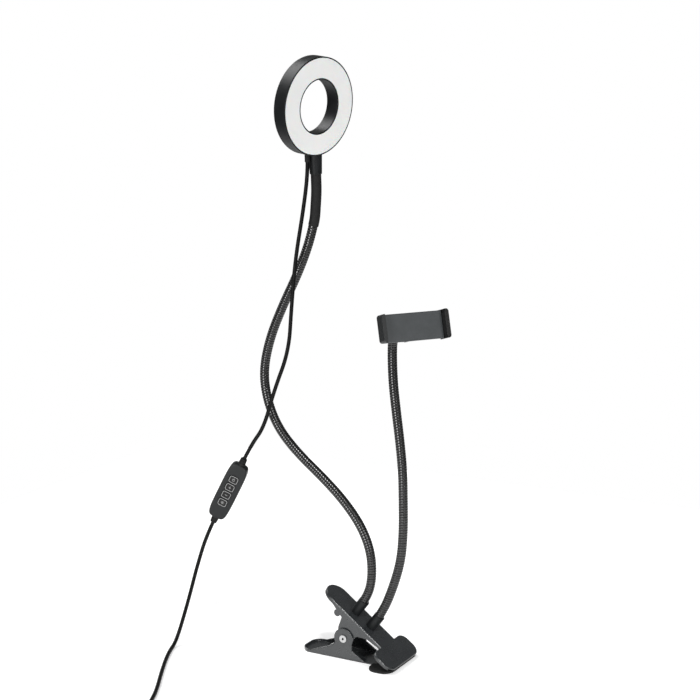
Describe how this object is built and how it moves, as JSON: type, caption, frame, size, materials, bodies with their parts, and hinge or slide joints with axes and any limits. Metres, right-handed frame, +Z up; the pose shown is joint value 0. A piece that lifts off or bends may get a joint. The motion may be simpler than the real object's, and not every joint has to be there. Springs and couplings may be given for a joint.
{
  "type": "ring light",
  "caption": "Small flat ring lamp and spring phone holder on separate goosenecks that rise from one sprung desk clamp, with a keypad in the lead.",
  "frame": {"origin": "underside of the lower clamp leg, straight below the clamp pivot, where the lamp stands on the desk", "axes": "+Z up, +X along the clamp from its handles to its jaws, +Y across the clamp"},
  "size_m": [0.256, 0.3691, 0.5412],
  "materials": {
    "clamp_black": "satin black enamel",
    "bare_steel": "bright zinc",
    "rubber_black": "matt",
    "hose_black": "wound steel, black coating",
    "shell_black": "satin moulded",
    "diffuser_white": "frosted",
    "board_white": "solder mask",
    "led_amber": "phosphor",
    "led_yellow": "phosphor",
    "holder_grey": "fine texture",
    "holder_black": "fine texture",
    "board_green": "solder mask",
    "button_black": "printed outline",
    "lead_black": "smooth jacket",
    "tongue_white": "plain"
  },
  "bodies": {
    "clamp_upper": {"clamp_upper_leg": "clamp_black", "upper_jaw_pad": "rubber_black", "pivot_rivet": "bare_steel", "torsion_spring": "bare_steel", "light_arm_socket": "shell_black", "phone_arm_socket": "shell_black", "socket_nuts": "bare_steel", "light_hose_base": "hose_black", "phone_hose_base": "hose_black", "lead_floor": "lead_black", "lead_coil": "lead_black", "coil_tie": "rubber_black", "usb_plug_body": "rubber_black", "usb_plug_shell": "bare_steel", "usb_tongue": "tongue_white"},
    "clamp_lower": {"clamp_lower_leg": "clamp_black", "lower_jaw_sleeve": "rubber_black"},
    "light_link_1": {"light_flex_1": "hose_black", "light_hose_1": "hose_black", "lead_hang": "lead_black"},
    "light_link_2": {"light_flex_2": "hose_black", "light_hose_2": "hose_black", "lead_arm_drop": "lead_black", "controller_front": "shell_black", "controller_back": "shell_black", "controller_board": "board_green", "strain_reliefs": "rubber_black"},
    "light_link_3": {"light_flex_3": "hose_black", "light_hose_3": "hose_black", "lead_ring_drop": "lead_black"},
    "ring_head": {"light_flex_4": "hose_black", "light_hose_4": "hose_black", "light_sleeve": "rubber_black", "neck_collar": "shell_black", "ring_housing": "shell_black", "ring_diffuser": "diffuser_white", "led_board": "board_white", "leds_warm": "led_amber", "leds_cool": "led_yellow", "board_screws": "bare_steel", "lead_grommet": "rubber_black"},
    "phone_link_1": {"phone_flex_1": "hose_black", "phone_hose_1": "hose_black"},
    "phone_link_2": {"phone_flex_2": "hose_black", "phone_hose_2": "hose_black"},
    "phone_link_3": {"phone_flex_3": "hose_black", "phone_hose_3": "hose_black", "ball_stud": "holder_black"},
    "swivel_nut": {"lock_nut": "holder_black"},
    "phone_holder": {"holder_tray": "holder_grey", "holder_rear_cover": "holder_black", "fixed_jaw_pad": "rubber_black", "jaw_spring": "bare_steel"},
    "moving_jaw": {"sliding_jaw": "holder_black", "guide_rods": "bare_steel", "sliding_jaw_pad": "rubber_black"},
    "key_1": {"button_1": "button_black"},
    "key_2": {"button_2": "button_black"},
    "key_3": {"button_3": "button_black"},
    "key_4": {"button_4": "button_black"}
  },
  "joints": [
    {"name": "light_bend_base", "type": "hinge", "parent": "clamp_upper", "child": "light_link_1", "pos_m": [0.022, 0, 0.077], "axis": [1, 0, 0], "range_deg": [-20, 20], "deforming": ["light_flex_1", "lead_floor"]},
    {"name": "light_bend_low", "type": "hinge", "parent": "light_link_1", "child": "light_link_2", "pos_m": [-0.031, 0, 0.165], "axis": [0, -1, 0], "range_deg": [-10, 25], "deforming": ["light_flex_2", "lead_hang"]},
    {"name": "light_bend_mid", "type": "hinge", "parent": "light_link_2", "child": "light_link_3", "pos_m": [-0.0875, 0, 0.23], "axis": [1, 0, 0], "range_deg": [-25, 25], "deforming": ["light_flex_3", "lead_arm_drop"]},
    {"name": "light_bend_top", "type": "hinge", "parent": "light_link_3", "child": "ring_head", "pos_m": [-0.055, 0.0015, 0.348], "axis": [0, -1, 0], "range_deg": [-25, 25], "deforming": ["light_flex_4", "lead_ring_drop"]},
    {"name": "phone_bend_base", "type": "hinge", "parent": "clamp_upper", "child": "phone_link_1", "pos_m": [0.051, 0, 0.098], "axis": [1, 0, 0], "range_deg": [-20, 20], "deforming": ["phone_flex_1"]},
    {"name": "phone_bend_mid", "type": "hinge", "parent": "phone_link_1", "child": "phone_link_2", "pos_m": [0.052, 0, 0.179], "axis": [0, 1, 0], "range_deg": [-8, 25], "deforming": ["phone_flex_2"]},
    {"name": "phone_bend_top", "type": "hinge", "parent": "phone_link_2", "child": "phone_link_3", "pos_m": [0.0418, 0, 0.261], "axis": [0, 1, 0], "range_deg": [-20, 20], "deforming": ["phone_flex_3"]},
    {"name": "holder_tilt", "type": "hinge", "parent": "phone_link_3", "child": "swivel_nut", "pos_m": [0.06234, -0.01646, 0.31148], "axis": [0.5807, 0.8141, 0], "range_deg": [-20, 20]},
    {"name": "holder_roll", "type": "hinge", "parent": "swivel_nut", "child": "phone_holder", "pos_m": [0.06234, -0.01646, 0.31148], "axis": [0.7826, -0.5582, 0.2756], "range_deg": [-90, 90]},
    {"name": "jaw_slide", "type": "slide", "parent": "phone_holder", "child": "moving_jaw", "axis": [0.5807, 0.8141, 0], "range_m": [0, 0.02], "stiffness_N_per_m": 120, "springref_m": -0.02, "deforming": ["jaw_spring"]},
    {"name": "clamp_pivot", "type": "hinge", "parent": "clamp_upper", "child": "clamp_lower", "pos_m": [0, 0, 0.0195], "axis": [0, 1, 0], "range_deg": [0, 25], "stiffness_Nm_per_rad": 1.5, "springref_deg": -45.84, "deforming": ["torsion_spring"]},
    {"name": "key_press_1", "type": "slide", "parent": "light_link_2", "child": "key_1", "axis": [-0.3268, 0.938, 0.1154], "range_m": [0, 0.0006], "stiffness_N_per_m": 1500, "springref_m": -0.0002},
    {"name": "key_press_2", "type": "slide", "parent": "light_link_2", "child": "key_2", "axis": [-0.3268, 0.938, 0.1154], "range_m": [0, 0.0006], "stiffness_N_per_m": 1500, "springref_m": -0.0002},
    {"name": "key_press_3", "type": "slide", "parent": "light_link_2", "child": "key_3", "axis": [-0.3268, 0.938, 0.1154], "range_m": [0, 0.0006], "stiffness_N_per_m": 1500, "springref_m": -0.0002},
    {"name": "key_press_4", "type": "slide", "parent": "light_link_2", "child": "key_4", "axis": [-0.3268, 0.938, 0.1154], "range_m": [0, 0.0006], "stiffness_N_per_m": 1500, "springref_m": -0.0002}
  ]
}
